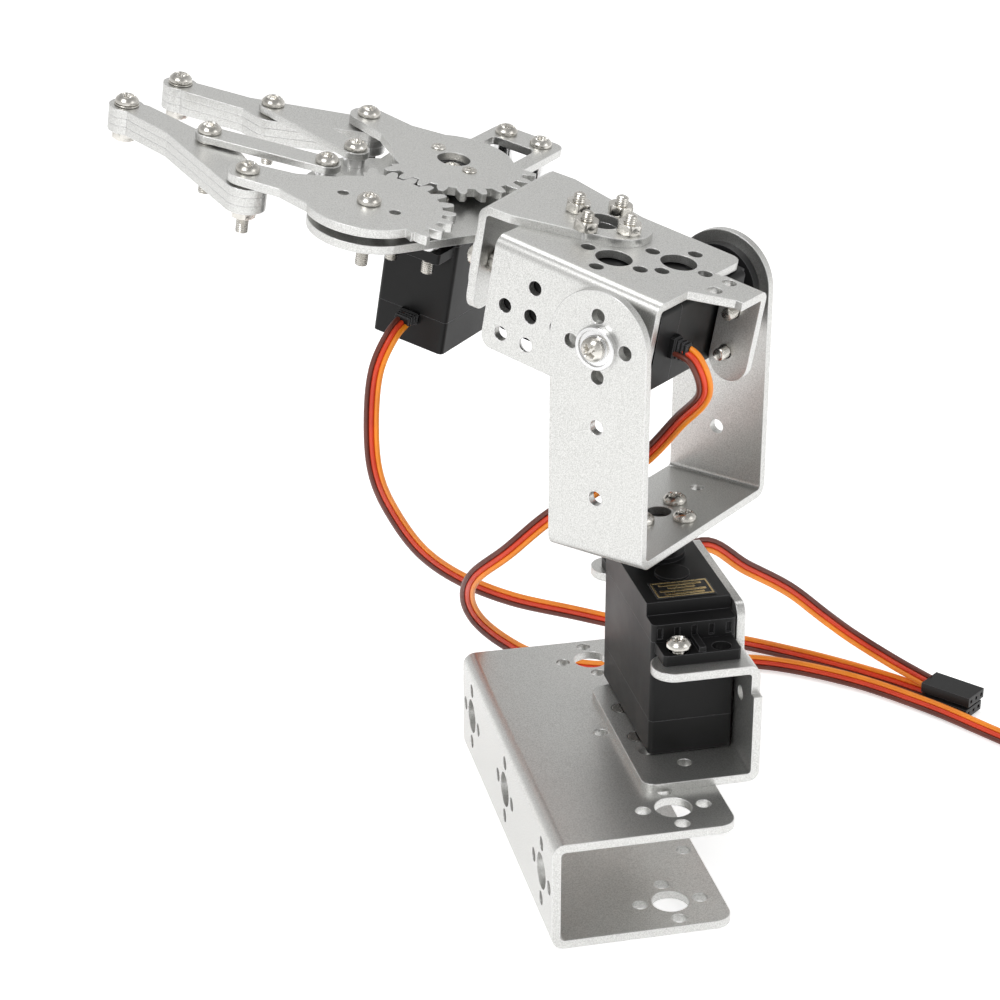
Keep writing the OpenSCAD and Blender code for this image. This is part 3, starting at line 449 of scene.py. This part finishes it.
# ---------- materials ----------
class Nodes:
    """Short names for building one procedural material."""

    def __init__(self, name):
        self.material = bpy.data.materials.new(name)
        self.material.use_nodes = True
        self.tree = self.material.node_tree
        self.shader = self.tree.nodes["Principled BSDF"]
        self.coords = self.tree.nodes.new("ShaderNodeTexCoord").outputs["Object"]

    def link(self, source, target):
        self.tree.links.new(source, target)

    def noise(self, scale, detail=3.0, rough=0.55, stretch=(1, 1, 1)):
        mapping = self.tree.nodes.new("ShaderNodeMapping")
        mapping.inputs["Scale"].default_value = stretch
        self.link(self.coords, mapping.inputs["Vector"])
        node = self.tree.nodes.new("ShaderNodeTexNoise")
        node.inputs["Scale"].default_value = scale
        node.inputs["Detail"].default_value = detail
        node.inputs["Roughness"].default_value = rough
        self.link(mapping.outputs["Vector"], node.inputs["Vector"])
        return node.outputs["Fac"]

    def spread(self, value, low, high, out_low, out_high):
        node = self.tree.nodes.new("ShaderNodeMapRange")
        node.inputs["From Min"].default_value = low
        node.inputs["From Max"].default_value = high
        node.inputs["To Min"].default_value = out_low
        node.inputs["To Max"].default_value = out_high
        self.link(value, node.inputs["Value"])
        return node.outputs["Result"]

    def blend_colors(self, factor, dark, light):
        """A Mix node's colour sockets are inputs 6 and 7 and output 2."""
        node = self.tree.nodes.new("ShaderNodeMix")
        node.data_type = "RGBA"
        self.link(factor, node.inputs["Factor"])
        for socket, value in ((node.inputs[6], dark), (node.inputs[7], light)):
            if isinstance(value, tuple):
                socket.default_value = (*value, 1)
            else:
                self.link(value, socket)
        return node.outputs[2]

    def bevel(self, radius):
        node = self.tree.nodes.new("ShaderNodeBevel")
        node.samples = 4
        node.inputs["Radius"].default_value = radius
        return node.outputs["Normal"]

    def edges(self, bevelled):
        """1 along edges, 0 on flats: the mask of the painted highlight along edges."""
        geometry = self.tree.nodes.new("ShaderNodeNewGeometry")
        dot = self.tree.nodes.new("ShaderNodeVectorMath")
        dot.operation = "DOT_PRODUCT"
        self.link(bevelled, dot.inputs[0])
        self.link(geometry.outputs["Normal"], dot.inputs[1])
        return self.spread(dot.outputs["Value"], 0.995, 0.85, 0.0, 1.0)

    def bump(self, height, strength, distance, normal=None):
        node = self.tree.nodes.new("ShaderNodeBump")
        node.inputs["Strength"].default_value = strength
        node.inputs["Distance"].default_value = distance
        self.link(height, node.inputs["Height"])
        if normal is not None:
            self.link(normal, node.inputs["Normal"])
        return node.outputs["Normal"]

    def finish(self, color, roughness, normal, metallic=0.0, **extra):
        self.link(color, self.shader.inputs["Base Color"])
        self.link(roughness, self.shader.inputs["Roughness"])
        self.link(normal, self.shader.inputs["Normal"])
        self.shader.inputs["Metallic"].default_value = metallic
        for name, value in extra.items():
            self.shader.inputs[name.replace("_", " ")].default_value = value
        return self.material


def sheet_metal():
    """Blasted and silvered aluminium: sparkling fine grain, and a painted highlight that makes the edges brighter.
    """
    n = Nodes("blasted_aluminium")
    grain = n.noise(3800, 3.0, 0.6)
    clouds = n.noise(55, 3.0)
    bevelled = n.bevel(0.35 * MM)
    edge = n.edges(bevelled)
    speckle = n.blend_colors(
        n.spread(grain, 0.36, 0.62, 0, 1), (0.5, 0.5, 0.485), (0.74, 0.74, 0.725))
    cloudy = n.blend_colors(n.spread(clouds, 0.3, 0.75, 0, 0.3), speckle, (0.68, 0.68, 0.66))
    # painted highlight: the edges are blended towards near-white
    color = n.blend_colors(edge, cloudy, (0.9, 0.9, 0.9))
    roughness = n.spread(grain, 0.3, 0.7, 0.42, 0.28)
    return n.finish(color, roughness, n.bump(grain, 0.22, 0.03 * MM, bevelled), 0.92)


def black_plastic(name, base, rough_low, rough_high):
    """Moulded black plastic of grey level base, smeared by handling."""
    n = Nodes(name)
    texture = n.noise(1100, 4.0, 0.65)
    smears = n.noise(40, 4.0)
    bevelled = n.bevel(0.25 * MM)
    edge = n.edges(bevelled)
    worn = n.blend_colors(
        n.spread(smears, 0.35, 0.7, 0, 1), (base, base, base), (base * 1.7, base * 1.7, base * 1.8))
    # painted highlight: the edges are blended towards a lighter grey than the flats
    color = n.blend_colors(edge, worn, (0.11, 0.11, 0.115))
    roughness = n.spread(smears, 0.3, 0.7, rough_low, rough_high)
    return n.finish(color, roughness, n.bump(texture, 0.3, 0.05 * MM, bevelled), 0.0,
                    Specular_IOR_Level=0.22)


def bright_metal(name, dark, light, rough_low, rough_high):
    """Plated or bare metal with faint streaks and stains."""
    n = Nodes(name)
    streaks = n.noise(420, 5.0, 0.6, stretch=(1, 1, 5))
    stains = n.noise(160, 3.0)
    bevelled = n.bevel(0.12 * MM)
    color = n.blend_colors(n.spread(stains, 0.3, 0.7, 0, 1), dark, light)
    roughness = n.spread(streaks, 0.3, 0.7, rough_low, rough_high)
    return n.finish(color, roughness, n.bump(streaks, 0.12, 0.03 * MM, bevelled), 1.0)


def wire_skin(name, dark, light):
    """Soft insulation with dusty patches."""
    n = Nodes(name)
    skin = n.noise(350, 3.0)
    dust = n.noise(90, 4.0)
    color = n.blend_colors(n.spread(dust, 0.3, 0.75, 0, 1), light, dark)
    roughness = n.spread(skin, 0.3, 0.7, 0.3, 0.48)
    return n.finish(color, roughness, n.bump(skin, 0.15, 0.05 * MM), 0.0)


def board_green():
    n = Nodes("circuit_board")
    tracks = n.noise(260, 2.0)
    mottling = n.noise(80, 3.0)
    color = n.blend_colors(
        n.spread(tracks, 0.48, 0.52, 0, 1), (0.02, 0.16, 0.07), (0.05, 0.28, 0.12))
    roughness = n.spread(mottling, 0.3, 0.7, 0.3, 0.5)
    return n.finish(color, roughness, n.bump(tracks, 0.2, 0.05 * MM), 0.0)


def table_top():
    n = Nodes("pale_table")
    fine = n.noise(120, 3.0)
    color = n.blend_colors(n.spread(fine, 0.3, 0.7, 0, 1), (0.93, 0.93, 0.93), (0.95, 0.95, 0.95))
    return n.finish(color, n.spread(fine, 0.3, 0.7, 0.55, 0.65), n.bump(fine, 0.02, 0.02 * MM), 0.0,
                    Emission_Color=(1, 1, 1, 1), Emission_Strength=0.45)


# ---------- small pieces ----------
def bevelled_block(shape, centre, axes, half, bevel, slot=0):
    """A block with softened edges, drawn as stacked rings along axes[2]."""
    top = half[2]
    rows = []
    for z, shrink in ((-top, bevel), (-top + bevel, 0), (top - bevel, 0), (top, bevel)):
        hx, hy = half[0] - shrink, half[1] - shrink
        ring = []
        for x, y, dx, dy in ((1, 1, 0, 1), (1, 1, 1, 0), (1, -1, 1, 0), (1, -1, 0, 1),
                             (-1, -1, 0, 1), (-1, -1, 1, 0), (-1, 1, 1, 0), (-1, 1, 0, 1)):
            px, py = x * (hx - bevel * dy), y * (hy - bevel * dx)
            ring.append(centre + axes[0] * px + axes[1] * py + axes[2] * z)
        rows.append(ring)
    shape.rings(rows[::-1], slot)


def lead_grommet(name, exit_point, out, side, up, plastic, body):
    """Ribbed strain relief that grips the ribbon at the servo's case."""
    shape = Builder()
    axes = (side, up, out)
    collar, core = (2.6 * MM, 1.5 * MM, 0.9 * MM), (1.95 * MM, 0.9 * MM, 2 * MM)
    bevelled_block(shape, exit_point + out * 0.5 * MM, axes, collar, 0.3 * MM)
    for i in range(3):
        rib = ((2.3 - 0.12 * i) * MM, 1.15 * MM, 0.36 * MM)
        bevelled_block(shape, exit_point + out * (1.7 + 1.0 * i) * MM, axes, rib, 0.12 * MM)
    bevelled_block(shape, exit_point + out * 2.4 * MM, axes, core, 0.1 * MM)
    piece = shape.object(name, [plastic])
    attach(piece, body)


def servo_label(node, plate_black, gold, body):
    """Generic foil label with a frame and plain bars on the cover's top."""
    low, high = (Vector(c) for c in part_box(node))
    top = high.z - 1.2 * MM
    centre = Vector(((low.x + high.x) / 2, (low.y + high.y) / 2 - 9.9 * MM, top + 0.12 * MM))
    axes = (Vector((1, 0, 0)), Vector((0, 1, 0)), UP)
    shape = Builder()
    bevelled_block(shape, centre, axes, (7 * MM, 4 * MM, 0.1 * MM), 0.05 * MM, 0)
    lift = UP * 0.14 * MM
    # gold bars as (x, y, half length, half width) in millimetres: two sides, two ends, four lines
    bars = [(x, 0, 0.2, 3.5) for x in (-6.4, 6.4)]
    bars += [(0, y, 6.4, 0.2) for y in (-3.4, 3.4)]
    bars += [(0, y, half, 0.4) for y, half in ((-2.3, 4.6), (-0.8, 5.4), (0.7, 3.2), (2.1, 5.0))]
    for x, y, half_x, half_y in bars:
        place = centre + axes[0] * x * MM + axes[1] * y * MM + lift
        bevelled_block(shape, place, axes, (half_x * MM, half_y * MM, 0.05 * MM), 0.02 * MM, 1)
    piece = shape.object("foil_label", [plate_black, gold])
    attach(piece, body)


# ---------- studio ----------
FLOOR_HALF = 3.0
FLOOR_GAP = 0.0002
WALL_LIGHT = 0.82
CEILING_LIGHT = 0.42


def add_studio(floor_material):
    corners = [(x * FLOOR_HALF, y * FLOOR_HALF, 0) for x, y in ((-1, -1), (1, -1), (1, 1), (-1, 1))]
    floor = new_object("floor", corners, [(0, 1, 2, 3)], [floor_material], False)
    floor.location.z = min(0.0, cad_box[0][2]) - FLOOR_GAP
    world = bpy.data.worlds.new("studio")
    world.use_nodes = True
    background = world.node_tree.nodes["Background"]
    background.inputs["Color"].default_value = (1.0, 0.998, 0.99, 1)
    # bright walls and a dimmer ceiling
    tree = world.node_tree
    split = tree.nodes.new("ShaderNodeSeparateXYZ")
    fade = tree.nodes.new("ShaderNodeMapRange")
    for socket, value in (
        ("From Min", 0.15), ("From Max", 0.75), ("To Min", WALL_LIGHT), ("To Max", CEILING_LIGHT),
    ):
        fade.inputs[socket].default_value = value
    tree.links.new(tree.nodes.new("ShaderNodeTexCoord").outputs["Generated"], split.inputs[0])
    tree.links.new(split.outputs["Z"], fade.inputs["Value"])
    tree.links.new(fade.outputs["Result"], background.inputs["Strength"])
    bpy.context.scene.world = world
    centre = Vector((0.0, 0.03, 0.08))
    for name, place, energy, width in (
        ("key", (-0.55, -0.45, 0.95), 4.5, 0.5),
        ("fill", (0.75, -0.5, 0.6), 1.6, 0.6),
        ("top", (0.1, 0.45, 1.1), 3.0, 0.6),
    ):
        data = bpy.data.lights.new(name, "AREA")
        data.energy = energy
        data.size = width
        light = bpy.data.objects.new(name, data)
        light.location = place
        light.rotation_euler = (centre - Vector(place)).to_track_quat("-Z", "Y").to_euler()
        bpy.context.scene.collection.objects.link(light)


# ---------- everything together ----------
add_camera()
bpy.context.scene.view_settings.view_transform = "Standard"

materials = {
    "blasted_aluminium": sheet_metal(),
    "servo_plastic": black_plastic("servo_plastic", 0.007, 0.34, 0.5),
    "horn_plastic": black_plastic("horn_plastic", 0.01, 0.3, 0.45),
    "plug_plastic": black_plastic("plug_plastic", 0.012, 0.3, 0.42),
    "circuit_board": board_green(),
    "motor_can": bright_metal("motor_can", (0.45, 0.45, 0.46), (0.6, 0.6, 0.6), 0.25, 0.4),
    "gear_brass": bright_metal("gear_brass", (0.62, 0.45, 0.2), (0.8, 0.64, 0.34), 0.2, 0.35),
    "plated_steel": bright_metal("plated_steel", (0.52, 0.5, 0.46), (0.78, 0.76, 0.72), 0.16, 0.32),
    "polished_steel": bright_metal(
        "polished_steel", (0.62, 0.62, 0.62), (0.8, 0.8, 0.8), 0.14, 0.28),
    "lead_wire": wire_skin("lead_wire", (0.6, 0.09, 0.02), (0.8, 0.14, 0.02)),
}
wires = [
    wire_skin("wire_brown", (0.09, 0.02, 0.012), (0.16, 0.035, 0.02)),
    wire_skin("wire_red", (0.55, 0.035, 0.012), (0.78, 0.06, 0.015)),
    wire_skin("wire_orange", (0.75, 0.2, 0.01), (0.95, 0.3, 0.015)),
]
for part in frame["record"]["subparts"]:
    slots = NODES[part["node"]].data.materials
    for i in range(len(slots)):
        slots[i] = materials[part["material_slot"]]

steel = materials["plated_steel"]
for node, axis, body in (
    ("turntable_servo_ear_screws", UP, "base"),
    ("fork_horn_screws", UP, "turret"),
    ("elbow_horn_screws", -FORK_SIDE, "turret"),
    ("elbow_pivot_screw", FORK_SIDE, "forearm"),
    ("elbow_servo_ear_screws", -FORK_SIDE, "forearm"),
    ("wrist_bolts", ARM_UP, "forearm"),
    ("wrist_nuts", ARM_UP, "forearm"),
    ("claw_plate_bolts", CLAW_FORWARD, "forearm"),
    ("claw_servo_ear_screws", ARM_UP, "forearm"),
    ("claw_pivot_bolts", ARM_UP, "forearm"),
    ("drive_gear_screws", ARM_UP, "drive_arm"),
    ("drive_jaw_bolts", ARM_UP, "drive_jaw"),
    ("idle_jaw_bolts", ARM_UP, "idle_jaw"),
):
    rebuild_hardware(node, axis, steel, body)
rebuild_bearing("elbow_bearing", FORK_SIDE, materials["polished_steel"], "turret")

# A lead that leaves the base's servo rides with the base; the others are baked in place and left on no body.
for name, route, exit_body in (
    ("turntable_lead", TURNTABLE_ROUTE, "base"),
    ("elbow_lead", ELBOW_ROUTE, "forearm"),
    ("claw_lead", CLAW_ROUTE, "forearm"),
):
    piece, path = ribbon(name + "_ribbon", route, wires if exit_body == "base" else wires[::-1])
    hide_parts(name)
    if exit_body == "base":
        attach(piece, "base")
    else:
        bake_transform(piece)

plastic = materials["servo_plastic"]
lead_grommet("turntable_grommet", Vector(TURNTABLE_ROUTE[0]) * MM - Vector((0, 0.4, 0)) * MM,
             Vector((0, 1, 0)), Vector((1, 0, 0)), UP, plastic, "base")
lead_grommet("elbow_grommet", Vector(ELBOW_ROUTE[0]) * MM + ARM_FORWARD * 0.4 * MM,
             -ARM_FORWARD, ARM_UP, FORK_SIDE, plastic, "forearm")
lead_grommet("claw_grommet", Vector(CLAW_ROUTE[0]) * MM - CLAW_SIDE * 0.4 * MM,
             CLAW_SIDE, CLAW_FORWARD, ARM_UP, plastic, "forearm")
servo_label("turntable_servo_cover", materials["plug_plastic"], materials["gear_brass"], "base")

add_studio(table_top())
